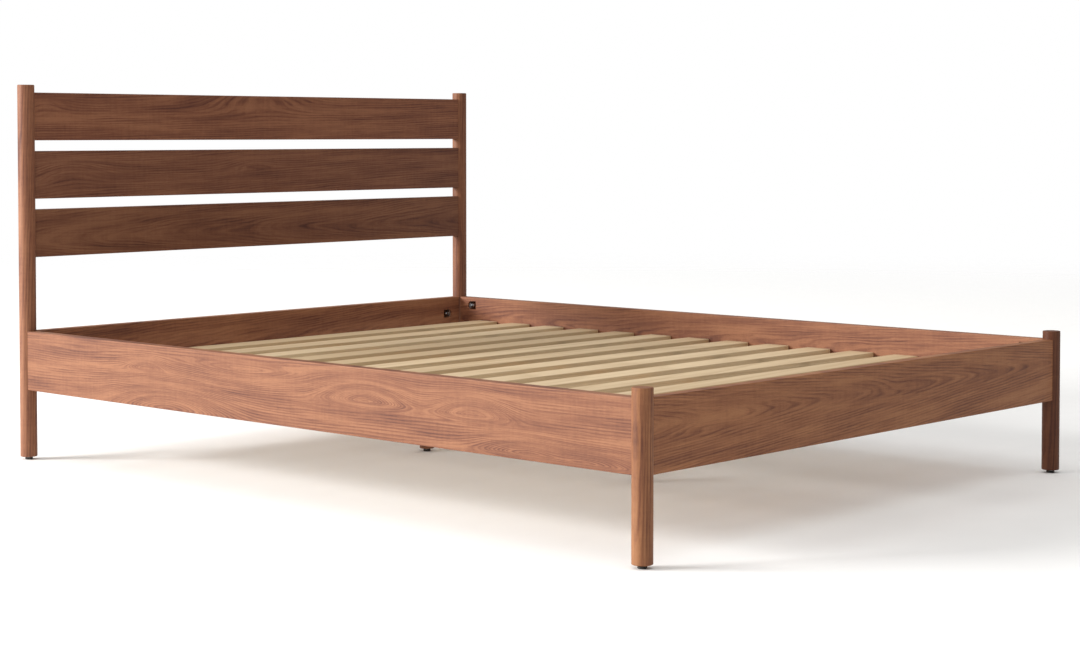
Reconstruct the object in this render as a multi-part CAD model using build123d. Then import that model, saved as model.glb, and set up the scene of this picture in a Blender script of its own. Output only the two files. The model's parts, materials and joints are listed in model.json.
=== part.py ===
"""A wooden platform bed frame for a 1524 x 2032 mm mattress, in millimetres.

Round posts carry a three-board headboard, four rails and a slatted mattress deck on a centre beam.
Every rail bolts to its posts from the inside, so no fastener shows from outside the bed.
The origin is on the floor under the middle of the bed: +X to the sleeper's left, +Y to the headboard, +Z up.
"""

from build123d import *
import os

# ---- mattress and the room round it
mattress_width = 1524.0
mattress_length = 2032.0
side_gap = 35.5  # mattress to side rail
end_gap = 22.5  # mattress to head rail and to foot rail

# ---- posts
post_diameter = 44.0
post_edge_radius = 2.0
head_post_top = 988.0
foot_post_above_rail = 20.5

# ---- rails
rail_thickness = 27.0
rail_height = 155.0
rail_bottom = 185.0
rail_edge_radius = 2.0
corner_land = 2.5  # wood left between the housings of two rails that meet at a post

# ---- headboard boards
board_thickness = 25.0
board_height = 126.0
board_gap = 28.0
board_edge_radius = 2.5
board_below_post_top = 20.0
tenon_thickness = 10.0
tenon_shoulder = 18.0  # step above and below each tenon
glue_gap = 0.1  # on each side of a glued or housed joint

# ---- rail bolts: a stud in the post, a half-moon washer and a nut in a pocket of the rail
stud_radius = 4.0
stud_hole_radius = 4.75
stud_depth_in_post = 18.5
stud_past_nut = 3.5
insert_radius = 6.0
insert_depth = 19.0
thread_gap = 0.05  # stands for the thread's clearance
side_stud_edge = 25.0  # stud to the rail's edge, on the side rails
end_stud_edge = 51.0  # stud to the rail's edge, on the head and foot rails
pocket_radius = 13.0
pocket_web = 34.0  # wood between the rail's end and its pocket
pocket_run = 22.0  # from the pocket's round end's centre to its square end
pocket_past_stud = 8.0  # pocket depth beyond the stud's axis
washer_thickness = 6.0
washer_gap = 0.2
nut_across_flats = 13.0
nut_thickness = 6.5
dowel_radius = 4.0
dowel_depth_in_post = 13.5
dowel_depth_in_rail = 21.5
dowel_gap = 0.5  # spare depth at each end of a dowel

# ---- mattress deck
recess_depth = 70.0  # rail top down to the slats' top
slat_count = 14
slat_width = 76.0
slat_thickness = 19.0
slat_edge_radius = 2.0
slat_end_gap = 3.0  # slat to side rail
first_slat_gap = 90.0  # head or foot rail to the nearest slat
ledger_width = 22.0
ledger_height = 30.0
ledger_past_pocket = 8.0
ledger_edge_radius = 1.5
ledger_screw_count = 8
ledger_screw_end = 60.0
webbing_width = 38.0
webbing_thickness = 1.5
webbing_from_centre = 480.0

# ---- centre beam, its hangers and its legs
beam_width = 38.0
beam_height = 64.0
beam_end_gap = 1.5
beam_edge_radius = 2.0
hanger_thickness = 2.0
hanger_reach = 38.0
hanger_tab = 20.0
hanger_gap = 0.2
leg_diameter = 40.0
leg_spacing = 756.0
leg_plate_length = 96.0
leg_plate_thickness = 3.0
leg_bolt_down = 36.0
leg_bolt_up = 12.0

# ---- levelling feet
foot_height = 8.0  # floor to the bottom of the wood, fully screwed in
foot_travel = 15.0
pad_radius = 10.0
pad_height = 5.2
pad_edge_radius = 1.4
pad_bore_depth = 3.4
collar_gap = 0.2  # above and below the stem's hexagonal collar
collar_across_flats = 13.0
foot_thread_left = 13.0  # thread still in its insert when the foot is fully out
foot_insert_length = 18.0
foot_bore_spare = 5.0

# ---- wood screws
screw_radius = 2.2
screw_head_radius = 4.4
screw_head_height = 2.4
screw_socket = 3.0
screw_gap = 0.05
long_screw = 40.0
short_screw = 18.0

# ---- worked out
post_radius = post_diameter / 2
post_x = mattress_width / 2 + side_gap + rail_thickness / 2
post_y = mattress_length / 2 + end_gap + rail_thickness / 2
rail_top = rail_bottom + rail_height
rail_middle = rail_bottom + rail_height / 2
foot_post_top = rail_top + foot_post_above_rail
housing_floor = rail_thickness / 2 + corner_land
inner_x = post_x - rail_thickness / 2
inner_y = post_y - rail_thickness / 2
deck_top = rail_top - recess_depth
deck_bottom = deck_top - slat_thickness
side_stud_z = (rail_bottom + side_stud_edge, rail_top - side_stud_edge)
end_stud_z = (rail_bottom + end_stud_edge, rail_top - end_stud_edge)
side_dowel_z = (side_stud_z[1] + end_stud_z[1]) / 2
end_dowel_z = (end_stud_z[0] + end_stud_z[1]) / 2
pocket_start = housing_floor + pocket_web
pocket_centre = pocket_start + pocket_radius
pocket_end = pocket_centre + pocket_run
ledger_half = post_y - pocket_end - ledger_past_pocket
beam_bottom = deck_bottom - beam_height
leg_top = beam_bottom - leg_plate_thickness
slat_length = 2 * (inner_x - slat_end_gap)
slat_span = 2 * (inner_y - first_slat_gap)
slat_pitch = (slat_span - slat_width) / (slat_count - 1)
foot_thread_length = foot_travel + foot_thread_left
UP = Vector(0, 0, 1)


# ---- plain solids


def block(low, high):
    """A box from one corner to the opposite one, whichever way round they are."""
    least = [min(a, b) for a, b in zip(low, high)]
    size = [abs(a - b) for a, b in zip(low, high)]
    return Pos(*least) * Box(*size, align=(Align.MIN, Align.MIN, Align.MIN))


def rod(start, end, radius):
    """A round bar between two points."""
    axis = Vector(*end) - Vector(*start)
    bar = Cylinder(radius, axis.length, align=(Align.CENTER, Align.CENTER, Align.MIN))
    return Plane(origin=start, z_dir=axis).location * bar


def hexagon(start, end, across_flats):
    """A hexagonal bar between two points."""
    axis = Vector(*end) - Vector(*start)
    section = RegularPolygon(across_flats / 2, 6, major_radius=False)
    return Plane(origin=start, z_dir=axis).location * extrude(section, axis.length)


def board(start, end, thickness, height, edge_radius):
    """A level board with rounded long edges, from the middle of one end to the middle of the other."""
    axis = Vector(*end) - Vector(*start)
    section = RectangleRounded(thickness, height, edge_radius)
    plane = Plane(origin=start, x_dir=axis.cross(UP), z_dir=axis)
    return plane.location * extrude(section, axis.length)


def screw(head, direction, length, gap=0.0):
    """A countersunk wood screw, whose head is flush at the point head. A gap makes its hole instead."""
    head = Vector(*head)
    direction = Vector(*direction).normalized()
    plane = Plane(origin=head, z_dir=direction)
    low = (Align.CENTER, Align.CENTER, Align.MIN)
    cone = Cone(screw_head_radius + gap, screw_radius + gap, screw_head_height, align=low)
    shank = Cylinder(screw_radius + gap, length - screw_radius, align=low)
    tip = Pos(0, 0, length - screw_radius) * Cone(screw_radius + gap, 0.3, screw_radius + gap, align=low)
    made = cone + shank + tip
    if not gap:
        made -= extrude(RegularPolygon(screw_socket / 2, 6, major_radius=False), screw_head_height / 2)
    return plane.location * made


def group(solids):
    """Identical pieces as separate solids of one node."""
    return Compound(children=[solid for made in solids for solid in made.solids()])


# ---- the bolted joint between a rail and a post


class RailJoint:
    """Places along one rail from its post's axis: along the rail, towards the bed's inside, and up."""

    def __init__(self, post, along, inward, stud_heights, dowel_height):
        self.post = Vector(post[0], post[1], 0)
        self.along = Vector(along[0], along[1], 0)
        self.inward = Vector(inward[0], inward[1], 0)
        self.stud_heights = stud_heights
        self.dowel_height = dowel_height

    def at(self, along, inward, up):
        return self.post + self.along * along + self.inward * inward + UP * up

    def bar(self, start, end, radius, up):
        return rod(self.at(start, 0, up), self.at(end, 0, up), radius)

    def post_cuts(self):
        cuts = [housing(self.at(housing_floor, 0, rail_middle), self.along, rail_thickness, rail_height)]
        for up in self.stud_heights:
            cuts.append(self.bar(post_radius, housing_floor - insert_depth, insert_radius, up))
        deepest = housing_floor - dowel_depth_in_post - dowel_gap
        cuts.append(self.bar(post_radius, deepest, dowel_radius + thread_gap, self.dowel_height))
        return cuts

    def rail_cuts(self):
        cuts = []
        for up in self.stud_heights:
            cuts.append(self.bar(0, pocket_centre, stud_hole_radius, up))
            cuts.append(self.pocket(up))
        deepest = housing_floor + dowel_depth_in_rail + dowel_gap
        cuts.append(self.bar(0, deepest, dowel_radius + thread_gap, self.dowel_height))
        return cuts

    def pocket(self, up):
        """The round-ended pocket in the rail's inner face that the nut is turned in."""
        face = rail_thickness / 2 + 1
        back = self.at(pocket_centre, -pocket_past_stud, up)
        round_end = rod(back, self.at(pocket_centre, face, up), pocket_radius)
        low = self.at(pocket_centre, -pocket_past_stud, up - pocket_radius)
        return round_end + block(low, self.at(pocket_end, face, up + pocket_radius))

    def inserts(self):
        made = []
        for up in self.stud_heights:
            sleeve = self.bar(housing_floor, housing_floor - insert_depth, insert_radius - thread_gap, up)
            made.append(sleeve - self.bar(post_radius, -post_radius, stud_radius + thread_gap, up))
        return made

    def studs(self):
        start = housing_floor - stud_depth_in_post
        end = pocket_start + washer_gap + washer_thickness + nut_thickness + stud_past_nut
        return [self.bar(start, end, stud_radius, up) for up in self.stud_heights]

    def washers(self):
        made = []
        for up in self.stud_heights:
            back = self.at(pocket_centre, washer_gap - pocket_past_stud, up)
            front = self.at(pocket_centre, pocket_past_stud, up)
            disc = rod(back, front, pocket_radius - washer_gap)
            low = self.at(pocket_start, -pocket_past_stud, up - pocket_radius)
            high = self.at(pocket_start + washer_gap + washer_thickness, pocket_past_stud, up + pocket_radius)
            half_moon = disc & block(low, high)
            made.append(half_moon - self.bar(pocket_start, pocket_centre, stud_hole_radius, up))
        return made

    def nuts(self):
        start = pocket_start + washer_gap + washer_thickness
        made = []
        for up in self.stud_heights:
            nut = hexagon(self.at(start, 0, up), self.at(start + nut_thickness, 0, up), nut_across_flats)
            made.append(nut - self.bar(start - 1, pocket_end, stud_radius + thread_gap, up))
        return made

    def dowels(self):
        start = housing_floor - dowel_depth_in_post
        return [self.bar(start, housing_floor + dowel_depth_in_rail, dowel_radius, self.dowel_height)]


def housing(middle, along, thickness, height):
    """The shallow flat-bottomed seat in a post for the end of a rail or board."""
    radius = rail_edge_radius + glue_gap
    far = middle + along * post_diameter
    return board(middle, far, thickness + 2 * glue_gap, height + 2 * glue_gap, radius)


# ---- posts and headboard

board_tops = [head_post_top - board_below_post_top - n * (board_height + board_gap) for n in range(3)]
board_middles = [top - board_height / 2 for top in board_tops]
tenon_height = board_height - 2 * tenon_shoulder


def mortises(post, side):
    """Seats and mortises for the headboard's boards. side is +1 where the boards lie towards +X."""
    cuts = []
    for up in board_middles:
        floor = Vector(post[0] + side * housing_floor, post[1], up)
        cuts.append(housing(floor, Vector(side, 0, 0), board_thickness, board_height))
        deep = Vector(post[0] - side * glue_gap, post[1], up)
        sizes = (tenon_thickness + 2 * glue_gap, tenon_height + 2 * glue_gap)
        cuts.append(board(deep, floor, *sizes, tenon_thickness / 4))
    return cuts


def foot_bore(x, y):
    """The hole in the bottom of a post or leg for a levelling foot's insert and thread."""
    insert = rod((x, y, 0), (x, y, foot_height + foot_insert_length), insert_radius)
    top = foot_height + foot_thread_length + foot_bore_spare
    return insert + rod((x, y, 0), (x, y, top), stud_hole_radius)


def round_post(x, y, top, diameter, cuts):
    post = rod((x, y, foot_height), (x, y, top), diameter / 2)
    post = fillet(post.edges().filter_by(GeomType.CIRCLE), post_edge_radius)
    for cut in [foot_bore(x, y), *cuts]:
        post -= cut
    return post


def headboard_board(up):
    half = post_x - housing_floor
    body = board((-half, post_y, up), (half, post_y, up), board_thickness, board_height, board_edge_radius)
    ends = (-post_x, post_y, up), (post_x, post_y, up)
    return body + board(*ends, tenon_thickness, tenon_height, tenon_thickness / 4)


# ---- rails


def rail(start, end, joints, more_cuts=()):
    made = board(start, end, rail_thickness, rail_height, rail_edge_radius)
    for cut in [*(cut for joint in joints for cut in joint.rail_cuts()), *more_cuts]:
        made -= cut
    return made


def ledger_screws(side, gap=0.0):
    """The screws that hold a ledger to its side rail."""
    run = ledger_half - ledger_screw_end
    step = 2 * run / (ledger_screw_count - 1)
    up = deck_bottom - ledger_height / 2
    x = side * (inner_x - ledger_width)
    return [screw((x, n * step - run, up), (side, 0, 0), long_screw, gap) for n in range(ledger_screw_count)]


def ledger(side):
    """The strip inside a side rail that the slats lie on."""
    x = side * (inner_x - ledger_width / 2)
    up = deck_bottom - ledger_height / 2
    ends = (x, -ledger_half, up), (x, ledger_half, up)
    made = board(*ends, ledger_width, ledger_height, ledger_edge_radius)
    for cut in [*ledger_screws(side, screw_gap), *slat_screws(screw_gap)]:
        made -= cut
    return made


# ---- mattress deck


def slat_y(number):
    return slat_pitch * number - (slat_span - slat_width) / 2


def slat_screws(gap=0.0):
    """Two screws through each end of the first and last slats, into the ledgers."""
    x = inner_x - ledger_width / 2
    made = []
    for number in (0, slat_count - 1):
        for side in (-1, 1):
            for offset in (-slat_width / 4, slat_width / 4):
                head = (side * x, slat_y(number) + offset, deck_top)
                made.append(screw(head, (0, 0, -1), long_screw, gap))
    return made


def mattress_slat(number, cuts):
    y = slat_y(number)
    up = deck_top - slat_thickness / 2
    ends = (-slat_length / 2, y, up), (slat_length / 2, y, up)
    made = board(*ends, slat_width, slat_thickness, slat_edge_radius)
    for cut in cuts if number in (0, slat_count - 1) else ():
        made -= cut
    return made


def webbing(side):
    """The strap under the slats that keeps them at their pitch."""
    x = side * webbing_from_centre
    half = slat_span / 2
    low = (x - webbing_width / 2, -half, deck_bottom - webbing_thickness)
    return block(low, (x + webbing_width / 2, half, deck_bottom))


# ---- centre beam, hangers and legs


def beam_hanger(end):
    """A folded steel cradle on the inner face of the head rail (end +1) or the foot rail (end -1)."""
    face = end * inner_y
    nose = face - end * hanger_reach
    seat = beam_bottom - hanger_thickness
    side = beam_width / 2 + hanger_gap
    made = block((-side - hanger_thickness, face, seat), (side + hanger_thickness, nose, beam_bottom))
    for way in (-1, 1):
        outer = way * (side + hanger_thickness)
        top = beam_bottom + beam_height - hanger_thickness
        made += block((way * side, face, seat), (outer, nose, top))
        tab_face = face - end * hanger_thickness
        made += block((way * side, face, seat), (outer + way * hanger_tab, tab_face, top))
    for cut in hanger_screws(end, screw_gap):
        made -= cut
    return made


def hanger_screws(end, gap=0.0):
    x = beam_width / 2 + hanger_gap + hanger_thickness + hanger_tab / 2
    low = max(beam_bottom, rail_bottom)
    run = beam_bottom + beam_height - low
    heights = (low + run / 4, low + run * 3 / 4)
    y = end * (inner_y - hanger_thickness)
    return [screw((way * x, y, up), (0, end, 0), short_screw, gap) for way in (-1, 1) for up in heights]


def centre_beam():
    up = beam_bottom + beam_height / 2
    half = inner_y - beam_end_gap
    made = board((0, -half, up), (0, half, up), beam_width, beam_height, beam_edge_radius)
    for end in (-1, 1):
        y = end * leg_spacing / 2
        made -= rod((0, y, beam_bottom - 1), (0, y, beam_bottom + leg_bolt_up + 1), stud_hole_radius)
        for cut in plate_screws(end, screw_gap):
            made -= cut
    return made


def plate_screws(end, gap=0.0):
    """Four screws that hold a leg's plate under the beam."""
    y = end * leg_spacing / 2
    across, ahead = beam_width / 2 - 8, leg_plate_length / 2 - 10
    places = [(i * across, y + j * ahead) for i in (-1, 1) for j in (-1, 1)]
    return [screw((*place, leg_top), (0, 0, 1), short_screw, gap) for place in places]


def leg_plate(end):
    y = end * leg_spacing / 2
    half = leg_plate_length / 2
    made = block((-beam_width / 2, y - half, leg_top), (beam_width / 2, y + half, beam_bottom))
    made = fillet(made.edges().filter_by(Axis.Z), 4)
    made -= rod((0, y, leg_top - 1), (0, y, beam_bottom + 1), stud_radius + thread_gap)
    for cut in plate_screws(end, screw_gap):
        made -= cut
    return made


def leg_bolt(end):
    y = end * leg_spacing / 2
    return rod((0, y, leg_top - leg_bolt_down), (0, y, beam_bottom + leg_bolt_up), stud_radius)


def centre_leg(end):
    y = end * leg_spacing / 2
    hole = rod((0, y, leg_top - leg_bolt_down - 1), (0, y, leg_top + 1), stud_radius + thread_gap)
    return round_post(0, y, leg_top, leg_diameter, [hole])


# ---- levelling feet


def foot_insert(x, y):
    sleeve = rod((x, y, foot_height), (x, y, foot_height + foot_insert_length), insert_radius - thread_gap)
    return sleeve - rod((x, y, 0), (x, y, foot_height + foot_thread_length), stud_radius + thread_gap)


def foot_pad(x, y):
    """The glide that stands on the floor, with the socket that the stem turns in."""
    pad = rod((x, y, 0), (x, y, pad_height), pad_radius)
    pad = fillet(pad.edges().filter_by(GeomType.CIRCLE), pad_edge_radius)
    return pad - rod((x, y, pad_height - pad_bore_depth), (x, y, foot_height), stud_radius + thread_gap)


def foot_stem(x, y):
    """The threaded stem with its hexagonal collar."""
    collar_low = pad_height + collar_gap
    collar_high = foot_height - collar_gap
    pivot = rod((x, y, pad_height - pad_bore_depth + collar_gap), (x, y, collar_high), stud_radius)
    thread = rod((x, y, collar_low), (x, y, foot_height + foot_thread_length), stud_radius)
    thread = chamfer(thread.edges().filter_by(GeomType.CIRCLE).sort_by(Axis.Z)[-1], stud_radius / 4)
    return pivot + hexagon((x, y, collar_low), (x, y, collar_high), collar_across_flats) + thread


# ---- the whole bed

posts = {
    "head_post_left": (-post_x, post_y),
    "head_post_right": (post_x, post_y),
    "foot_post_left": (-post_x, -post_y),
    "foot_post_right": (post_x, -post_y),
}
feet = {
    "head_left": posts["head_post_left"],
    "head_right": posts["head_post_right"],
    "foot_left": posts["foot_post_left"],
    "foot_right": posts["foot_post_right"],
    "centre_rear": (0, leg_spacing / 2),
    "centre_front": (0, -leg_spacing / 2),
}


def across_joint(name):
    """The joint of the head or foot rail at a post."""
    x, y = posts[name]
    return RailJoint((x, y), (-x / post_x, 0), (0, -y / post_y), end_stud_z, end_dowel_z)


def along_joint(name):
    """The joint of a side rail at a post."""
    x, y = posts[name]
    return RailJoint((x, y), (0, -y / post_y), (-x / post_x, 0), side_stud_z, side_dowel_z)


def build():
    nodes = {}
    across = {name: across_joint(name) for name in posts}
    along = {name: along_joint(name) for name in posts}
    joints = [*across.values(), *along.values()]

    for name, (x, y) in posts.items():
        cuts = [*across[name].post_cuts(), *along[name].post_cuts()]
        at_head = y > 0
        if at_head:
            cuts += mortises((x, y), -x / post_x)
        nodes[name] = round_post(x, y, head_post_top if at_head else foot_post_top, post_diameter, cuts)

    for name, up in zip(("top", "middle", "bottom"), board_middles):
        nodes[f"headboard_board_{name}"] = headboard_board(up)

    half_x, half_y = post_x - housing_floor, post_y - housing_floor
    for name, end in (("head", 1), ("foot", -1)):
        ends = (-half_x, end * post_y, rail_middle), (half_x, end * post_y, rail_middle)
        fitted = [across[f"{name}_post_{side}"] for side in ("left", "right")]
        nodes[f"{name}_rail"] = rail(*ends, fitted, hanger_screws(end, screw_gap))
        nodes[f"beam_hanger_{name}"] = beam_hanger(end)
    for name, side in (("left", -1), ("right", 1)):
        ends = (side * post_x, -half_y, rail_middle), (side * post_x, half_y, rail_middle)
        fitted = [along[f"{end}_post_{name}"] for end in ("head", "foot")]
        nodes[f"side_rail_{name}"] = rail(*ends, fitted, ledger_screws(side, screw_gap))
        nodes[f"ledger_{name}"] = ledger(side)
        nodes[f"slat_webbing_{name}"] = webbing(side)

    slat_holes = slat_screws(screw_gap)
    for number in range(slat_count):
        nodes[f"mattress_slat_{number + 1:02d}"] = mattress_slat(number, slat_holes)

    nodes["centre_beam"] = centre_beam()
    for name, end in (("rear", 1), ("front", -1)):
        nodes[f"centre_leg_{name}"] = centre_leg(end)
    nodes["centre_leg_plates"] = group([leg_plate(end) for end in (-1, 1)])
    nodes["centre_leg_bolts"] = group([leg_bolt(end) for end in (-1, 1)])

    nodes["rail_inserts"] = group([made for joint in joints for made in joint.inserts()])
    nodes["rail_studs"] = group([made for joint in joints for made in joint.studs()])
    nodes["half_moon_washers"] = group([made for joint in joints for made in joint.washers()])
    nodes["rail_nuts"] = group([made for joint in joints for made in joint.nuts()])
    nodes["rail_dowels"] = group([made for joint in joints for made in joint.dowels()])
    nodes["ledger_screws"] = group([made for side in (-1, 1) for made in ledger_screws(side)])
    nodes["slat_screws"] = group(slat_screws())
    nodes["hanger_screws"] = group([made for end in (-1, 1) for made in hanger_screws(end)])
    nodes["leg_plate_screws"] = group([made for end in (-1, 1) for made in plate_screws(end)])

    nodes["foot_inserts"] = group([foot_insert(*place) for place in feet.values()])
    for name, place in feet.items():
        nodes[f"foot_pad_{name}"] = foot_pad(*place)
        nodes[f"foot_stem_{name}"] = foot_stem(*place)
    return nodes


os.makedirs("parts", exist_ok=True)
for node, shape in build().items():
    export_step(shape, f"parts/{node}.step")
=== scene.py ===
"""Finishes, webbing, threads and a studio for a wooden bed frame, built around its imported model.

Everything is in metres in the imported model's own frame: +X to the right seen from the foot, +Y to the
headboard, +Z up. Sizes inside the wood materials are in millimetres.
"""

import json
import math

import bmesh
import bpy
import numpy as np
from bpy.props import FloatProperty, FloatVectorProperty, IntProperty, PointerProperty
from bpy.types import Operator, Panel, PropertyGroup
from mathutils import Matrix, Vector


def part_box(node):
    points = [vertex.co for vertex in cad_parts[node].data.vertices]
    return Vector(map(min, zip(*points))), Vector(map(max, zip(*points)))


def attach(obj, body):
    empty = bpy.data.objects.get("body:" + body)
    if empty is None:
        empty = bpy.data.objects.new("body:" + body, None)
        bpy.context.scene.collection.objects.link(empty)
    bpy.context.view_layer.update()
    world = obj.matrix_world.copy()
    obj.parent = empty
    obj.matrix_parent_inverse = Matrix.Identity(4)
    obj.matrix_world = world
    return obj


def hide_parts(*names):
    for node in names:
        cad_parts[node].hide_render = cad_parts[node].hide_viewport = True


bl_info = {
    "name": "Wooden bed frame",
    "version": (1, 0, 0),
    "blender": (4, 5, 0),
    "location": "3D View > Sidebar > Bed frame",
    "description": "Oiled walnut, slatted deck, hardware and studio for a bed frame",
    "category": "Object",
}

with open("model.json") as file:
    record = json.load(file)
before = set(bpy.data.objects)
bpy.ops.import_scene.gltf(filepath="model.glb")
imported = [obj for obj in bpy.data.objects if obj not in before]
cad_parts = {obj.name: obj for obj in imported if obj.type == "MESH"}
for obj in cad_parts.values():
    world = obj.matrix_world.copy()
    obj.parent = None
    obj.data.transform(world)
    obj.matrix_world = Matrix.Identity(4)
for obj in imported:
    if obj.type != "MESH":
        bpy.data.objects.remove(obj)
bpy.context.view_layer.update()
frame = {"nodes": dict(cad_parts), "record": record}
nodes = frame["nodes"]

MM = 0.001
FEET = [name[len("foot_pad_") :] for name in sorted(nodes) if name.startswith("foot_pad_")]
SLATS = [name for name in sorted(nodes) if name.startswith("mattress_slat_")]
ACROSS, ALONG, UPRIGHT = "XZY", "YZX", "ZXY"  # object axes for: along the grain, over the face, depth
FIRST, SECOND, MIXED = 6, 7, 2  # a colour Mix node's two inputs, and its output


# ---- colours, nodes and meshes


def linear(code, alpha=None):
    """An sRGB hex colour as linear values."""
    shares = [int(code[i : i + 2], 16) / 255 for i in (1, 3, 5)]
    made = [s / 12.92 if s <= 0.04045 else ((s + 0.055) / 1.055) ** 2.4 for s in shares]
    return tuple(made) if alpha is None else (*made, alpha)


def add(tree, kind, inputs=None, **settings):
    """Adds a node with its settings and links.

    An input's key is the socket's name or number, and it is a value, another node, or (another node, its
    output). A Map Range node's sockets 1 to 4 are the range it reads and the range it gives.
    """
    node = tree.nodes.new(kind)
    for name, value in settings.items():
        setattr(node, name, value)
    for key, value in (inputs or {}).items():
        if isinstance(value, bpy.types.Node):
            value = (value, 0)
        if isinstance(value, tuple) and isinstance(value[0], bpy.types.Node):
            tree.links.new(value[0].outputs[value[1]], node.inputs[key])
        else:
            node.inputs[key].default_value = value
    return node


def new_material(name, **shader_values):
    """A material with a Principled shader, and its node tree and shader."""
    material = bpy.data.materials.new(name)
    material.use_nodes = True
    tree = material.node_tree
    shader = tree.nodes["Principled BSDF"]
    for key, value in shader_values.items():
        shader.inputs[key.replace("_", " ")].default_value = value
    return material, tree, shader


def give(node, material):
    """Puts a material in every slot of a model node."""
    mesh = nodes[node].data
    if not mesh.materials:
        mesh.materials.append(material)
    for i in range(len(mesh.materials)):
        mesh.materials[i] = material


def new_object(name, mesh):
    made = bpy.data.objects.new(name, mesh)
    bpy.context.scene.collection.objects.link(made)
    return made


def finish_modifiers(piece):
    """Turns a piece's modifiers into a plain mesh."""
    evaluated = piece.evaluated_get(bpy.context.evaluated_depsgraph_get())
    made = bpy.data.meshes.new_from_object(evaluated)
    piece.modifiers.clear()
    old, piece.data = piece.data, made
    bpy.data.meshes.remove(old)
    made.name = piece.name
    return piece


def place(piece, body, slot, *replaced):
    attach(piece, body)
    if replaced:
        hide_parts(*replaced)


# ---- wood


def wood_coordinates(tree, centre, grain):
    """Millimetres from a piece's centre: along its grain, over its face, and into its depth."""
    here = add(tree, "ShaderNodeTexCoord")
    centred = add(tree, "ShaderNodeMapping", {"Vector": (here, "Object"), "Location": [-c for c in centre]})
    scaled = add(tree, "ShaderNodeVectorMath", {0: centred, "Scale": 1 / MM}, operation="SCALE")
    apart = add(tree, "ShaderNodeSeparateXYZ", {0: scaled})
    return add(tree, "ShaderNodeCombineXYZ", {i: (apart, axis) for i, axis in enumerate(grain)})


def wood_streaks(tree, at, sizes, seed, detail=2.0, roughness=0.5, distortion=0.0):
    """Streaks and clouds in the wood, of the given sizes in millimetres along, over and into it."""
    scaled = add(tree, "ShaderNodeVectorMath", {0: at, 1: [1 / s for s in sizes]}, operation="MULTIPLY")
    moved = add(tree, "ShaderNodeVectorMath", {0: scaled, 1: (seed * 7.3, seed * 3.1, seed)}, operation="ADD")
    values = {"Vector": moved, "Scale": 1.0, "Detail": detail, "Roughness": roughness, "Distortion": distortion}
    return add(tree, "ShaderNodeTexNoise", values)


# the rings' own waviness: size in mm along, over and into the wood, mm of growth, and a step in the seed
RING_WAVES = (((520, 85, 120), 30, 1), ((150, 26, 40), 8, 2), ((45, 8, 12), 1.6, 3))
RING_DEPTH = 0.35  # how fast the rings change into the depth, as a share of over the face
SWIRL_DEPTH = 125  # mm that a swirl reaches into the wood
FLAT_FOOT = 3.2  # how many times faster a swirl fades under its foot than over its top


def growth_field(tree, at, pith, taper, swirls, seed, wander=1.0):
    """Millimetres of growth from the pith, whose level lines on a face are the wood's rings.

    pith is how far over the face and under it the pith lies. taper is millimetres of growth per metre
    along. A swirl is (along, over, length, height, growth) and bends the rings round a knot or crotch.
    It is a dome with a nearly flat foot, or a bowl with a nearly flat rim where its height is negative.
    """
    apart = add(tree, "ShaderNodeSeparateXYZ", {0: at})
    over = add(tree, "ShaderNodeMath", {0: (apart, 1), 1: pith[0]}, operation="SUBTRACT")
    under = add(tree, "ShaderNodeMath", {0: (apart, 2), 1: RING_DEPTH, 2: pith[1]}, operation="MULTIPLY_ADD")
    flat = add(tree, "ShaderNodeCombineXYZ", {0: 0.0, 1: over, 2: under})
    ring = add(tree, "ShaderNodeVectorMath", {0: flat}, operation="LENGTH")
    values = {0: (apart, 0), 1: taper * MM, 2: (ring, "Value")}
    field = add(tree, "ShaderNodeMath", values, operation="MULTIPLY_ADD")
    for sizes, growth, salt in RING_WAVES:
        noise = wood_streaks(tree, at, sizes, seed + salt * 11.7, detail=1.5)
        centred = add(tree, "ShaderNodeMath", {0: noise, 1: 0.5}, operation="SUBTRACT")
        wave = {0: centred, 1: growth * wander, 2: field}
        field = add(tree, "ShaderNodeMath", wave, operation="MULTIPLY_ADD")
    for along, over, length, height, growth in swirls:
        moved = add(tree, "ShaderNodeVectorMath", {0: at, 1: (along, over, 0)}, operation="SUBTRACT")
        sizes = (1 / length, 1 / height, 1 / SWIRL_DEPTH)
        scaled = add(tree, "ShaderNodeVectorMath", {0: moved, 1: sizes}, operation="MULTIPLY")
        flipped = add(tree, "ShaderNodeVectorMath", {0: scaled, 1: (-1, -FLAT_FOOT, -1)}, operation="MULTIPLY")
        folded = add(tree, "ShaderNodeVectorMath", {0: scaled, 1: flipped}, operation="MAXIMUM")
        square = add(tree, "ShaderNodeVectorMath", {0: folded, 1: folded}, operation="DOT_PRODUCT")
        minus = add(tree, "ShaderNodeMath", {0: (square, "Value"), 1: -1.0}, operation="MULTIPLY")
        hump = add(tree, "ShaderNodeMath", {0: minus}, operation="EXPONENT")
        field = add(tree, "ShaderNodeMath", {0: hump, 1: growth, 2: field}, operation="MULTIPLY_ADD")
    return field


def ring_lines(tree, field, spacing, edge):
    """0 in a ring's early wood, rising to 1 at its dark late edge, and each ring's own random tone."""
    rings = add(tree, "ShaderNodeMath", {0: field, 1: 1 / spacing}, operation="MULTIPLY")
    share = add(tree, "ShaderNodeMath", {0: rings}, operation="FRACT")
    ramp = add(tree, "ShaderNodeValToRGB", {0: share})
    stops = ramp.color_ramp.elements
    stops[0].color, stops[1].color = (0, 0, 0, 1), (0.15, 0.15, 0.15, 1)
    for position, tone in ((edge * 0.6, 0.12), (edge, 0.55), ((1 + edge) / 2, 1.0)):
        stops.new(position).color = (tone, tone, tone, 1)
    number = add(tree, "ShaderNodeMath", {0: rings}, operation="FLOOR")
    tone = add(tree, "ShaderNodeTexWhiteNoise", {"W": number}, noise_dimensions="1D")
    return ramp, tone


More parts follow.
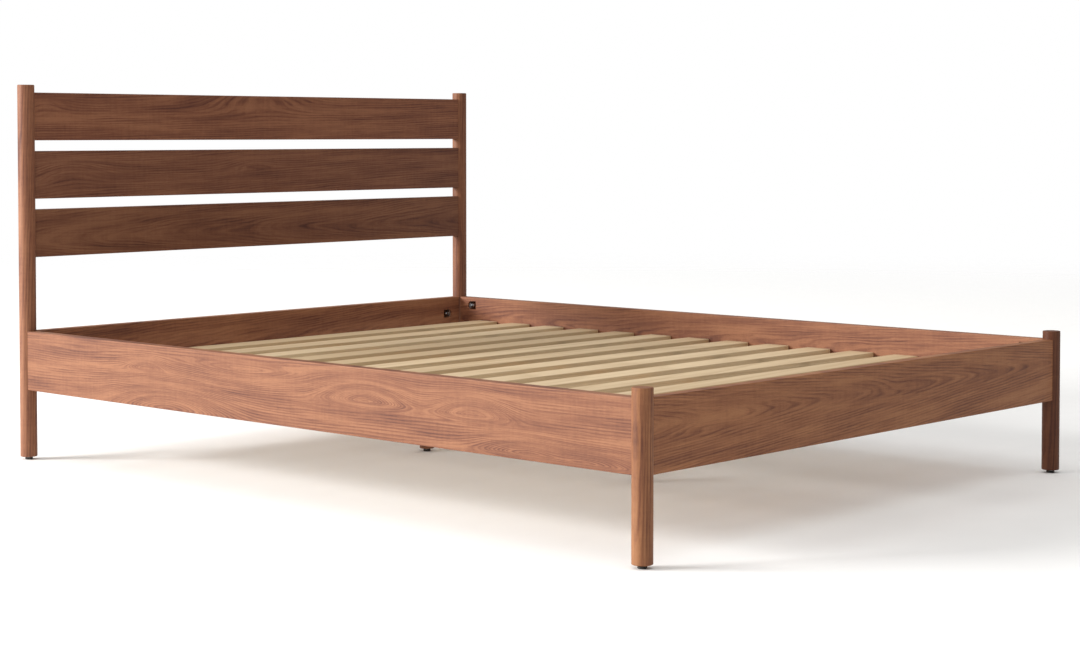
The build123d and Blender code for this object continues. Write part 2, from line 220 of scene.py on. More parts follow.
def blended(tree, parts):
    """The weighted sum of parts that each lie around a half, kept around a half."""
    total = 0.5 - sum(share for _, share in parts) / 2
    for part, share in parts:
        total = add(tree, "ShaderNodeMath", {0: part, 1: share, 2: total}, operation="MULTIPLY_ADD")
    return total


BAND_LENGTH = 420  # mm along the board in which the broad bands change
RING_DRIFT = 11.0  # mm by which the bands push the yearly rings apart and together


def walnut(name, node, grain, pith, taper, swirls, seed, tone=(1, 1, 1), wander=1.0):
    """Black walnut, planed, sanded and oiled: soft brown on brown bands, long fibres, open pores, satin."""
    look = bpy.context.scene.bed_walnut
    low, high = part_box(node)
    material, tree, shader = new_material(name, Specular_IOR_Level=look.oil_sheen)
    at = wood_coordinates(tree, (low + high) / 2, grain)
    field = growth_field(tree, at, pith, taper, swirls, seed, wander)
    # bands of many widths that follow the rings and slowly change along the board
    along = add(tree, "ShaderNodeSeparateXYZ", {0: at})
    slow = add(tree, "ShaderNodeMath", {0: (along, 0), 1: 1 / BAND_LENGTH}, operation="MULTIPLY")
    growth = add(tree, "ShaderNodeMath", {0: field, 1: MM / look.band}, operation="MULTIPLY")
    spot = add(tree, "ShaderNodeCombineXYZ", {0: growth, 1: slow, 2: float(seed)})
    values = {"Vector": spot, "Scale": 1.0, "Detail": 6.0, "Roughness": 0.74}
    bands = add(tree, "ShaderNodeTexNoise", values)
    # the yearly rings' dark edges, unevenly spaced, clear in some places and gone in others
    uneven = add(tree, "ShaderNodeMath", {0: bands, 1: RING_DRIFT, 2: field}, operation="MULTIPLY_ADD")
    ring, _ = ring_lines(tree, uneven, look.ring / MM, 0.6)
    clear = wood_streaks(tree, at, (230, 22, 40), seed + 6, detail=1)
    gate = add(tree, "ShaderNodeMapRange", {0: clear, 1: 0.36, 2: 0.62, 3: 0.15, 4: 1.0})
    line = add(tree, "ShaderNodeMath", {0: ring, 1: gate}, operation="MULTIPLY")
    # heartwood drifts between lighter and darker, which gives the board its slow changes of tone
    cloud = wood_streaks(tree, at, (420, 45, 60), seed + 5, detail=2)
    # fibres and open pores are under a millimetre wide, and are drawn about twice as coarse to show
    fibre = wood_streaks(tree, at, (110, 1.5, 1.5), seed + 9, detail=3, roughness=0.7)
    streak = wood_streaks(tree, at, (480, 2.6, 5), seed + 2, detail=3, roughness=0.65)
    pore = wood_streaks(tree, at, (14, 0.7, 0.7), seed + 3, detail=1)
    # curl: faint bands of painted sheen across the grain, where the fibres ripple
    curl_sheen = wood_streaks(tree, at, (9, 60, 60), seed + 4, detail=1, distortion=0.5)
    parts = [(bands, look.band_contrast), (line, look.ring_contrast)]
    parts += [(cloud, 0.45), (streak, 0.4), (fibre, 0.45), (curl_sheen, 0.16)]
    colour = add(tree, "ShaderNodeValToRGB", {0: blended(tree, parts)})
    stops = colour.color_ramp.elements
    stops[0].position, stops[1].position = 0.12, 0.84
    stops[0].color = (*look.light, 1)
    stops[1].color = (*look.dark, 1)
    stops.new(0.45).color = (*look.middle, 1)
    open_pore = add(tree, "ShaderNodeMapRange", {0: pore, 1: 0.6, 2: 0.7, 3: 1.0, 4: 0.78})
    toned = add(tree, "ShaderNodeVectorMath", {0: colour, 1: tone}, operation="MULTIPLY")
    final = add(tree, "ShaderNodeVectorMath", {0: toned, "Scale": open_pore}, operation="SCALE")
    tree.links.new(final.outputs[0], shader.inputs["Base Color"])
    values = {0: fibre, 1: 0.3, 2: 0.7, 3: look.satin - 0.05, 4: look.satin + 0.08}
    rough = add(tree, "ShaderNodeMapRange", values)
    tree.links.new(rough.outputs[0], shader.inputs["Roughness"])
    height = add(tree, "ShaderNodeMath", {0: fibre, 1: 0.4, 2: open_pore}, operation="MULTIPLY_ADD")
    bump = add(tree, "ShaderNodeBump", {"Strength": 0.12, "Distance": 0.0004, "Height": height})
    tree.links.new(bump.outputs[0], shader.inputs["Normal"])
    return material


class BedWalnut(PropertyGroup):
    """The show wood."""

    light: FloatVectorProperty(
        name="Light", description="Early wood", subtype="COLOR", size=3, default=linear("#946447")
    )
    middle: FloatVectorProperty(
        name="Middle", description="Body of the wood", subtype="COLOR", size=3, default=linear("#7D4F38")
    )
    dark: FloatVectorProperty(
        name="Dark", description="Late wood", subtype="COLOR", size=3, default=linear("#5A3428")
    )
    band: FloatProperty(name="Bands", description="Width of the broad bands", unit="LENGTH", default=0.022)
    ring: FloatProperty(name="Rings", description="Spacing of the yearly rings", unit="LENGTH", default=0.0062)
    band_contrast: FloatProperty(name="Band contrast", description="Weight of the broad bands", default=1.55)
    ring_contrast: FloatProperty(name="Ring contrast", description="Weight of the yearly rings", default=0.42)
    satin: FloatProperty(name="Satin", description="Roughness of the oil", subtype="FACTOR", default=0.48)
    oil_sheen: FloatProperty(name="Oil sheen", description="Specular level", subtype="FACTOR", default=0.22)


class BEDFRAME_OT_walnut(Operator):
    """Gives the posts, boards, rails and centre legs their walnut, each with its own figure."""

    bl_idname = "bedframe.walnut"
    bl_label = "Walnut pieces"

    def execute(self, context):
        # along and over in mm from the board's middle; each swirl bends the rings into a dome or a bowl
        domes = (
            (818, 40, 150, -40, 9),
            (530, 20, 62, 22, -44),
            (440, -72, 200, 54, -90),
            (150, 44, 190, -34, 34),
            (-262, 6, 120, 42, -96),
            (-592, 4, 95, 36, -88),
            (-745, -62, 110, 28, -64),
            (-930, -66, 110, 24, -54),
        )
        flames = ((60, 20, 70, 26, 9), (-640, 4, 90, 34, 10))
        bowls = ((-40, 70, 190, -46, 54), (-760, 40, 70, -30, 20))
        knots = ((-690, 24, 130, -50, 34), (-50, 16, 90, 30, 16))
        plain, golden, pinkish = (0.98, 0.98, 0.98), (1.08, 1.08, 0.95), (0.93, 0.91, 0.95)
        dark, darkest = (0.76, 0.76, 0.82), (0.71, 0.71, 0.74)
        # each board's name, grain, pith, taper, swirls and seed, and its tone and wander where not plain
        boards = {
            "side_rail_left": ("left rail", ALONG, (-150, 60), 10, domes, 3, plain, 0.38),
            "side_rail_right": ("right rail", ALONG, (10, 35), 45, (), 21),
            "foot_rail": ("foot rail", ACROSS, (20, 16), 80, flames, 8, golden, 0.45),
            "head_rail": ("head rail", ACROSS, (-10, 40), -55, (), 31),
            "headboard_board_top": ("top board", ACROSS, (140, 60), 20, bowls, 5, pinkish, 0.5),
            "headboard_board_middle": ("middle board", ACROSS, (86, 26), 45, knots, 13, dark, 0.6),
            "headboard_board_bottom": ("bottom board", ACROSS, (-12, 30), -65, (), 17, darkest),
        }
        for node, (name, *figure) in boards.items():
            give(node, walnut("Oiled walnut, " + name, node, *figure))
        posts = {
            "head_post_left": (1.0, 1.02, 1.06),
            "head_post_right": (0.85, 0.85, 0.85),
            "foot_post_left": (1.04, 1.08, 0.96),
            # the right foot post is darker and redder all over than the other posts
            "foot_post_right": (0.46, 0.39, 0.35),
            "centre_leg_rear": (0.9, 0.9, 0.9),
            "centre_leg_front": (0.9, 0.9, 0.9),
        }
        for number, (node, tone) in enumerate(posts.items()):
            name = "Oiled walnut, " + node.replace("_", " ")
            give(node, walnut(name, node, UPRIGHT, (24 + 5 * number, 30), 16, (), 40 + number, tone, 0.6))
        return {"FINISHED"}


class BedPlainWood(PropertyGroup):
    """The woods that the mattress hides."""

    poplar: FloatVectorProperty(
        name="Slats", description="Planed poplar", subtype="COLOR", size=3, default=linear("#D0B996")
    )
    poplar_streak: FloatVectorProperty(
        name="Slat streaks", description="Its heartwood", subtype="COLOR", size=3, default=linear("#B89F7C")
    )
    pine: FloatVectorProperty(
        name="Ledgers and beam", description="Planed pine", subtype="COLOR", size=3, default=linear("#E0BE8B")
    )
    pine_ring: FloatVectorProperty(
        name="Pine rings", description="Late wood of pine", subtype="COLOR", size=3, default=linear("#BE8748")
    )
    beech: FloatVectorProperty(
        name="Dowels", description="Beech rod", subtype="COLOR", size=3, default=linear("#D2A77F")
    )


def plain_wood(name, light, dark, grain, pith, spacing, contrast, roughness, seed, pitch=0.0):
    """An unfinished planed softwood or pale hardwood. Boards laid at a pitch each get their own tone."""
    material, tree, shader = new_material(name, Specular_IOR_Level=0.3, Roughness=roughness)
    at = wood_coordinates(tree, (0, 0, 0), grain)
    field = growth_field(tree, at, pith, 25, (), seed, 0.35)
    ring, ring_tone = ring_lines(tree, field, spacing, 0.7)
    fibre = wood_streaks(tree, at, (120, 1.5, 1.5), seed + 2, detail=3, roughness=0.7)
    streak = wood_streaks(tree, at, (700, 14, 30), seed + 4, detail=1)
    total = 0.0
    for part, share in ((ring, contrast), (fibre, 0.45), (streak, 0.6), (ring_tone, contrast * 0.5)):
        total = add(tree, "ShaderNodeMath", {0: part, 1: share, 2: total}, operation="MULTIPLY_ADD")
    if pitch:
        apart = add(tree, "ShaderNodeSeparateXYZ", {0: at})
        board = add(tree, "ShaderNodeMath", {0: (apart, 2), 1: 1 / pitch}, operation="MULTIPLY")
        number = add(tree, "ShaderNodeMath", {0: board}, operation="FLOOR")
        tone = add(tree, "ShaderNodeTexWhiteNoise", {"W": number}, noise_dimensions="1D")
        total = add(tree, "ShaderNodeMath", {0: tone, 1: 0.5, 2: total}, operation="MULTIPLY_ADD")
    colour = add(tree, "ShaderNodeValToRGB", {0: total})
    stops = colour.color_ramp.elements
    stops[0].position, stops[1].position = 0.45, 1.45 if pitch else 1.2
    stops[0].color, stops[1].color = (*light, 1), (*dark, 1)
    tree.links.new(colour.outputs[0], shader.inputs["Base Color"])
    bump = add(tree, "ShaderNodeBump", {"Strength": 0.2, "Distance": 0.0005, "Height": fibre})
    tree.links.new(bump.outputs[0], shader.inputs["Normal"])
    return material


class BEDFRAME_OT_plain_wood(Operator):
    """Gives the slats poplar, the ledgers and beam pine, and the dowels beech."""

    bl_idname = "bedframe.plain_wood"
    bl_label = "Slats, ledgers, beam and dowels"

    def execute(self, context):
        tones = context.scene.bed_plain_wood
        first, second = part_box(SLATS[0])[0].y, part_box(SLATS[1])[0].y
        # poplar, planed and left bare: cream with long olive-brown streaks, almost no ring lines
        pitch = (second - first) / MM
        colours = (tones.poplar, tones.poplar_streak)
        poplar = plain_wood("Planed poplar", *colours, ACROSS, (60, 90), 9, 0.25, 0.62, 4, pitch)
        for node in SLATS:
            give(node, poplar)
        # pine, planed: yellow with clear orange late wood in nearly straight lines
        pine = plain_wood("Planed pine", tones.pine, tones.pine_ring, ALONG, (60, 70), 4.2, 0.7, 0.6, 6)
        for node in ("ledger_left", "ledger_right", "centre_beam"):
            give(node, pine)
        # beech rod: pinkish tan with short dark flecks
        beech = plain_wood("Beech rod", tones.beech, linear("#9C6B45"), ACROSS, (30, 30), 3, 0.4, 0.5, 2)
        give("rail_dowels", beech)
        return {"FINISHED"}


# ---- hardware


class BedHardware(PropertyGroup):
    """Steel fittings and the levelling feet."""

    zinc: FloatVectorProperty(
        name="Zinc", description="Bright zinc plating", subtype="COLOR", size=3, default=linear("#C3C6C9")
    )
    nylon: FloatVectorProperty(
        name="Nylon", description="Moulded black nylon", subtype="COLOR", size=3, default=linear("#161514")
    )
    thread_pitch: FloatProperty(name="Thread pitch", description="Rise a turn", unit="LENGTH", default=0.00125)
    thread_depth: FloatProperty(name="Thread depth", description="Crest to root", unit="LENGTH", default=0.00072)
    collar: FloatProperty(name="Collar", description="Across the collar's flats", unit="LENGTH", default=0.013)


M8_RADIUS = 4 * MM
COLLAR_AIR = 0.2 * MM  # over and under a foot's collar
EDGE = 0.4 * MM  # bevel of the collar and the pivot


def zinc_steel():
    """Steel with bright zinc plating: pale grey metal with faint cloudy crystals and fine drawing lines."""
    made = bpy.data.materials.get("Zinc-plated steel")
    if made:
        return made
    tones = bpy.context.scene.bed_hardware
    material, tree, shader = new_material("Zinc-plated steel", Metallic=1.0)
    here = add(tree, "ShaderNodeTexCoord")
    # spangle a few millimetres across
    cloud = add(tree, "ShaderNodeTexNoise", {"Vector": (here, "Object"), "Scale": 260.0, "Detail": 3.0})
    grit = add(tree, "ShaderNodeTexNoise", {"Vector": (here, "Object"), "Scale": 1800.0, "Detail": 2.0})
    values = {0: cloud, FIRST: (*tones.zinc, 1), SECOND: linear("#A9ADB2", 1)}
    colour = add(tree, "ShaderNodeMix", values, data_type="RGBA")
    tree.links.new(colour.outputs[MIXED], shader.inputs["Base Color"])
    rough = add(tree, "ShaderNodeMapRange", {0: cloud, 1: 0.3, 2: 0.7, 3: 0.26, 4: 0.4})
    tree.links.new(rough.outputs[0], shader.inputs["Roughness"])
    bump = add(tree, "ShaderNodeBump", {"Strength": 0.1, "Distance": 0.0002, "Height": grit})
    tree.links.new(bump.outputs[0], shader.inputs["Normal"])
    return material


def black_nylon():
    """Injection-moulded nylon: near-black, with the soft spark-eroded grain of its mould."""
    tones = bpy.context.scene.bed_hardware
    material, tree, shader = new_material("Moulded nylon", Roughness=0.5)
    here = add(tree, "ShaderNodeTexCoord")
    # mould grain of about 0.4 mm
    grain = add(tree, "ShaderNodeTexNoise", {"Vector": (here, "Object"), "Scale": 2500.0, "Detail": 2.0})
    scuff = add(tree, "ShaderNodeTexNoise", {"Vector": (here, "Object"), "Scale": 140.0, "Detail": 4.0})
    values = {0: scuff, FIRST: (*tones.nylon, 1), SECOND: linear("#26231F", 1)}
    colour = add(tree, "ShaderNodeMix", values, data_type="RGBA")
    tree.links.new(colour.outputs[MIXED], shader.inputs["Base Color"])
    bump = add(tree, "ShaderNodeBump", {"Strength": 0.35, "Distance": 0.0002, "Height": grain})
    tree.links.new(bump.outputs[0], shader.inputs["Normal"])
    return material


def thread_tree():
    """Geometry Nodes: a threaded rod from each start point along its axis, joined with the incoming faces."""
    tree = bpy.data.node_groups.new("Threaded rod", "GeometryNodeTree")
    face = tree.interface
    face.new_socket("Geometry", in_out="INPUT", socket_type="NodeSocketGeometry")
    for name in ("Radius", "Length", "Pitch", "Depth"):
        face.new_socket(name, in_out="INPUT", socket_type="NodeSocketFloat")
    for name in ("Sides", "Rows"):
        face.new_socket(name, in_out="INPUT", socket_type="NodeSocketInt")
    face.new_socket("Material", in_out="INPUT", socket_type="NodeSocketMaterial")
    face.new_socket("Geometry", in_out="OUTPUT", socket_type="NodeSocketGeometry")
    given = add(tree, "NodeGroupInput")
    sizes = {"Vertices": (given, "Sides"), "Side Segments": (given, "Rows"), "Radius": (given, "Radius")}
    bar = add(tree, "GeometryNodeMeshCylinder", {**sizes, "Depth": (given, "Length")})
    apart = add(tree, "ShaderNodeSeparateXYZ", {0: add(tree, "GeometryNodeInputPosition")})
    half = add(tree, "ShaderNodeMath", {0: (given, "Length"), 1: 0.5}, operation="MULTIPLY")
    rise = add(tree, "ShaderNodeMath", {0: (apart, 2), 1: half}, operation="ADD")
    turn = add(tree, "ShaderNodeMath", {0: (apart, 1), 1: (apart, 0)}, operation="ARCTAN2")
    turns = add(tree, "ShaderNodeMath", {0: turn, 1: 0.5 / math.pi}, operation="MULTIPLY")
    pitches = add(tree, "ShaderNodeMath", {0: rise, 1: (given, "Pitch")}, operation="DIVIDE")
    phase = add(tree, "ShaderNodeMath", {0: pitches, 1: turns}, operation="SUBTRACT")
    # 0 at the crest and 1 at the root, up and down once each pitch
    share = add(tree, "ShaderNodeMath", {0: phase, 1: 0.5}, operation="PINGPONG")
    drop = add(tree, "ShaderNodeMath", {0: share, 1: 2.0}, operation="MULTIPLY")
    cut = add(tree, "ShaderNodeMath", {0: drop, 1: (given, "Depth")}, operation="MULTIPLY")
    wall = add(tree, "ShaderNodeMath", {0: (given, "Radius"), 1: cut}, operation="SUBTRACT")
    # the lead-in: both ends taper at 45 degrees from the root's radius
    root = add(tree, "ShaderNodeMath", {0: (given, "Radius"), 1: (given, "Depth")}, operation="SUBTRACT")
    to_end = add(tree, "ShaderNodeMath", {0: (given, "Length"), 1: rise}, operation="SUBTRACT")
    nearer = add(tree, "ShaderNodeMath", {0: rise, 1: to_end}, operation="MINIMUM")
    lead = add(tree, "ShaderNodeMath", {0: root, 1: nearer}, operation="ADD")
    radius = add(tree, "ShaderNodeMath", {0: wall, 1: lead}, operation="MINIMUM")
    factor = add(tree, "ShaderNodeMath", {0: radius, 1: (given, "Radius")}, operation="DIVIDE")
    wide = add(tree, "ShaderNodeMath", {0: (apart, 0), 1: factor}, operation="MULTIPLY")
    deep = add(tree, "ShaderNodeMath", {0: (apart, 1), 1: factor}, operation="MULTIPLY")
    spot = add(tree, "ShaderNodeCombineXYZ", {0: wide, 1: deep, 2: rise})
    rod = add(tree, "GeometryNodeSetPosition", {"Geometry": (bar, "Mesh"), "Position": spot})
    axis = add(tree, "GeometryNodeInputNamedAttribute", {"Name": "axis"}, data_type="FLOAT_VECTOR")
    turned = add(tree, "FunctionNodeAlignRotationToVector", {"Vector": axis}, axis="Z")
    loose = add(tree, "GeometryNodeInputNamedAttribute", {"Name": "start"}, data_type="BOOLEAN")
    values = {"Points": (given, "Geometry"), "Selection": loose, "Instance": rod, "Rotation": turned}
    rods = add(tree, "GeometryNodeInstanceOnPoints", values)
    starts = add(tree, "GeometryNodeDeleteGeometry", {"Geometry": (given, "Geometry"), "Selection": loose})
    joined = add(tree, "GeometryNodeJoinGeometry", {0: rods})
    tree.links.new(starts.outputs[0], joined.inputs[0])
    real = add(tree, "GeometryNodeRealizeInstances", {0: joined})
    made = add(tree, "GeometryNodeSetMaterial", {"Geometry": real, "Material": (given, "Material")})
    add(tree, "NodeGroupOutput", {0: made})
    return tree


def staple_tree():
    """Geometry Nodes: a wire staple at each point, legs up, with its crown across the tape."""
    tree = bpy.data.node_groups.new("Wire staples", "GeometryNodeTree")
    face = tree.interface
    face.new_socket("Geometry", in_out="INPUT", socket_type="NodeSocketGeometry")
    for name in ("Crown", "Leg", "Wire"):
        face.new_socket(name, in_out="INPUT", socket_type="NodeSocketFloat")
    face.new_socket("Material", in_out="INPUT", socket_type="NodeSocketMaterial")
    face.new_socket("Geometry", in_out="OUTPUT", socket_type="NodeSocketGeometry")
    given = add(tree, "NodeGroupInput")
    line = add(tree, "GeometryNodeMeshLine", {"Count": 4})
    number = add(tree, "GeometryNodeInputIndex")
    side = add(tree, "ShaderNodeMath", {0: number, 1: 1.5}, operation="GREATER_THAN")
    centred = add(tree, "ShaderNodeMath", {0: side, 1: 0.5}, operation="SUBTRACT")
    across = add(tree, "ShaderNodeMath", {0: centred, 1: (given, "Crown")}, operation="MULTIPLY")
    # points 0 and 3 are the legs' tips, 1 and 2 the crown's corners
    back = add(tree, "ShaderNodeMath", {0: number, 1: 1.5}, operation="SUBTRACT")
    far = add(tree, "ShaderNodeMath", {0: back}, operation="ABSOLUTE")
    tip = add(tree, "ShaderNodeMath", {0: far, 1: 1.0}, operation="GREATER_THAN")
    up = add(tree, "ShaderNodeMath", {0: tip, 1: (given, "Leg")}, operation="MULTIPLY")
    spot = add(tree, "ShaderNodeCombineXYZ", {0: across, 1: 0.0, 2: up})
    bent = add(tree, "GeometryNodeSetPosition", {"Geometry": (line, "Mesh"), "Position": spot})
    path = add(tree, "GeometryNodeMeshToCurve", {"Mesh": bent})
    round_corner = {"Curve": path, "Radius": (given, "Wire"), "Count": 3}
    filleted = add(tree, "GeometryNodeFilletCurve", round_corner, mode="POLY")
    ring = add(tree, "GeometryNodeCurvePrimitiveCircle", {"Resolution": 8})
    thin = add(tree, "ShaderNodeMath", {0: (given, "Wire"), 1: 0.5}, operation="MULTIPLY")
    tree.links.new(thin.outputs[0], ring.inputs["Radius"])
    wire = add(tree, "GeometryNodeCurveToMesh", {"Curve": filleted, "Profile Curve": ring, "Fill Caps": True})
    placed = add(tree, "GeometryNodeInstanceOnPoints", {"Points": (given, "Geometry"), "Instance": wire})
    real = add(tree, "GeometryNodeRealizeInstances", {0: placed})
    made = add(tree, "GeometryNodeSetMaterial", {"Geometry": real, "Material": (given, "Material")})
    add(tree, "NodeGroupOutput", {0: made})
    return tree


def grow(piece, tree, **values):
    """Runs a node tree on a piece with its inputs set, and keeps the result as a plain mesh."""
    modifier = piece.modifiers.new(tree.name, "NODES")
    modifier.node_group = tree
    for item in tree.interface.items_tree:
        if item.item_type == "SOCKET" and item.in_out == "INPUT" and item.name in values:
            modifier[item.identifier] = values[item.name]
    return finish_modifiers(piece)


def start_points(name, places, solids=None):
    """A mesh of loose points with an axis each, and, if given, solid faces beside them."""
    mesh = bpy.data.meshes.new(name)
    made = solids or bmesh.new()
    axis = made.verts.layers.float_vector.new("axis")
    start = made.verts.layers.bool.new("start")
    for point, direction in places:
        vertex = made.verts.new(point)
        vertex[axis] = direction
        vertex[start] = True
    made.to_mesh(mesh)
    made.free()
    return new_object(name, mesh)


def collar_solid(x, y, low, high, across, pivot_low, pivot_radius):
    """A hexagonal collar with bevelled corners, over the pivot that turns in the pad."""
    made = bmesh.new()
    sides = 48
    corner = across / math.sqrt(3)
    rings = []
    # the hexagon's corners are turned down a little, and more at its two faces
    for z, limit in ((low, 0.94), (low + EDGE, 1.0), (high - EDGE, 1.0), (high, 0.94)):
        ring = []
        for i in range(sides):
            angle = 2 * math.pi * i / sides
            flat = across / 2 / math.cos((angle + math.pi / 6) % (math.pi / 3) - math.pi / 6)
            reach = min(flat, corner * 0.985, corner * limit)
            ring.append(made.verts.new((x + reach * math.cos(angle), y + reach * math.sin(angle), z)))
        rings.append(ring)
    pivot = []
    for z, radius in ((low, pivot_radius), (pivot_low + EDGE, pivot_radius), (pivot_low, pivot_radius - EDGE)):
        turn = [2 * math.pi * i / sides for i in range(sides)]
        pivot.append([made.verts.new((x + radius * math.cos(a), y + radius * math.sin(a), z)) for a in turn])
    stack = [*reversed(pivot), *rings]
    for below, above in zip(stack, stack[1:]):
        for i in range(sides):
            j = (i + 1) % sides
            made.faces.new((below[i], below[j], above[j], above[i]))
    made.faces.new(list(reversed(stack[0])))
    made.faces.new(stack[-1])
    bmesh.ops.recalc_face_normals(made, faces=made.faces[:])
    return made


class BEDFRAME_OT_hardware(Operator):
    """Gives the steel fittings their zinc, the pads their nylon, and the studs and bolts their threads."""

    bl_idname = "bedframe.hardware"
    bl_label = "Studs, bolts, screws and feet"

    def execute(self, context):
        sizes = context.scene.bed_hardware
        zinc, nylon = zinc_steel(), black_nylon()
        for entry in frame["record"]["subparts"]:
            finish = {"zinc_steel": zinc, "foot_nylon": nylon}.get(entry["material_slot"])
            if finish:
                give(entry["node"], finish)
        tree = thread_tree()
        shape = {"Pitch": sizes.thread_pitch, "Depth": sizes.thread_depth, "Material": zinc}
        for name, sides, rows in (("rail_studs", 12, 4), ("centre_leg_bolts", 16, 6)):
            places, length, radius = self.rods(name)
            piece = start_points(name + "_threaded", places)
            turns = length / sizes.thread_pitch
            grow(piece, tree, Radius=radius, Length=length, Sides=sides, Rows=int(turns * rows), **shape)
            place(piece, "bed", "zinc_steel", name)
        for foot in FEET:
            self.stem(foot, tree, shape)
        return {"FINISHED"}

    def rods(self, node):
        """The start and axis of each plain bar in a node, with their length and radius."""
        made = bmesh.new()
        made.from_mesh(nodes[node].data)
        bmesh.ops.remove_doubles(made, verts=made.verts[:], dist=1e-6)
        left, places = set(made.verts), []
        while left:
            island, queue = set(), [min(left, key=lambda v: v.index)]
            while queue:
                vertex = queue.pop()
                if vertex not in island:
                    island.add(vertex)
                    queue.extend(edge.other_vert(vertex) for edge in vertex.link_edges)
            left -= island
            co = np.array([v.co for v in island])
            low, high = co.min(0), co.max(0)
            way = int(np.argmax(high - low))
            start = (low + high) / 2
            start[way] = low[way]
            direction = Vector((0, 0, 0))
            direction[way] = 1
            places.append((Vector(start), direction))
            length = high[way] - low[way]
            radius = (high - low)[(way + 1) % 3] / 2
        made.free()
        places.sort(key=lambda p: tuple(round(c, 5) for c in p[0]))
        return places, float(length), float(radius)

    def stem(self, foot, tree, shape):
        """One foot's threaded stem, with its collar."""
        sizes = bpy.context.scene.bed_hardware
        low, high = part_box(f"foot_stem_{foot}")
        x, y = (low.x + high.x) / 2, (low.y + high.y) / 2
        pad_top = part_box(f"foot_pad_{foot}")[1].z
        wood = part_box("foot_post_left")[0].z
        solid = collar_solid(x, y, pad_top + COLLAR_AIR, wood - COLLAR_AIR, sizes.collar, low.z, M8_RADIUS)
        start = wood - 2 * COLLAR_AIR
        piece = start_points(f"foot_stem_{foot}_threaded", [((x, y, start), (0, 0, 1))], solid)
        length = high.z - start
        turns = length / sizes.thread_pitch
        grow(piece, tree, Radius=M8_RADIUS, Length=length, Sides=32, Rows=int(turns * 8), **shape)
        for polygon in piece.data.polygons:
            polygon.use_smooth = False
        place(piece, f"stem_{foot}", "zinc_steel", f"foot_stem_{foot}")


# ---- webbing


class BedWebbing(PropertyGroup):
    """The tape under the slats, and its staples."""

    colour: FloatVectorProperty(
        name="Tape", description="Polypropylene yarn", subtype="COLOR", size=3, default=linear("#1B1A1A")
    )
    ribs: IntProperty(name="Ribs", description="Lengthwise ribs of the weave", default=17)
    sag: FloatProperty(name="Sag", description="Drop between two slats", unit="LENGTH", default=0.0011)
    crown: FloatProperty(name="Crown", description="Width of a staple", unit="LENGTH", default=0.0105)
    leg: FloatProperty(name="Leg", description="Length of a staple's legs", unit="LENGTH", default=0.009)
    wire: FloatProperty(name="Wire", description="Thickness of a staple's wire", unit="LENGTH", default=0.0012)


STAPLES = (0.28, 0.72)  # each slat's two staples, as shares of its width
PICK = 1.6 * MM  # from one crosswise yarn to the next
RIB = 0.24  # depth of the tape's ribs, as a share of its thickness


def woven_tape():
    """Woven polypropylene tape: black, slightly shiny yarns, with picks across it every 1.6 mm, painted shade
    between the picks and painted highlight on their crests.
    """
    tones = bpy.context.scene.bed_webbing
    material, tree, shader = new_material("Woven polypropylene", Roughness=0.5, Sheen_Weight=0.25)
    here = add(tree, "ShaderNodeTexCoord")
    apart = add(tree, "ShaderNodeSeparateXYZ", {0: (here, "Object")})
    pick = add(tree, "ShaderNodeMath", {0: (apart, 1), 1: math.pi / PICK}, operation="MULTIPLY")
    yarn = add(tree, "ShaderNodeMath", {0: pick}, operation="SINE")
    hump = add(tree, "ShaderNodeMath", {0: yarn}, operation="ABSOLUTE")
    fuzz = add(tree, "ShaderNodeTexNoise", {"Vector": (here, "Object"), "Scale": 900.0, "Detail": 3.0})
    shade = add(tree, "ShaderNodeMath", {0: hump, 1: 0.6, 2: (fuzz, 0)}, operation="MULTIPLY_ADD")
    level = add(tree, "ShaderNodeMapRange", {0: shade, 1: 0.4, 2: 1.2, 3: 0.0, 4: 1.0})
    # one black yarn colour, darkened as painted shade between the picks and lightened as painted highlight on
    # their crests, and mottled by the fuzz
    painted_hollow_shade, painted_crest_highlight = ((*[c * share for c in tones.colour], 1) for share in (0.5, 1.9))
    colour = add(tree, "ShaderNodeMix", {0: level, FIRST: painted_hollow_shade, SECOND: painted_crest_highlight}, data_type="RGBA")
    tree.links.new(colour.outputs[MIXED], shader.inputs["Base Color"])
    bump = add(tree, "ShaderNodeBump", {"Strength": 0.6, "Distance": 0.0004, "Height": shade})
    tree.links.new(bump.outputs[0], shader.inputs["Normal"])
    return material


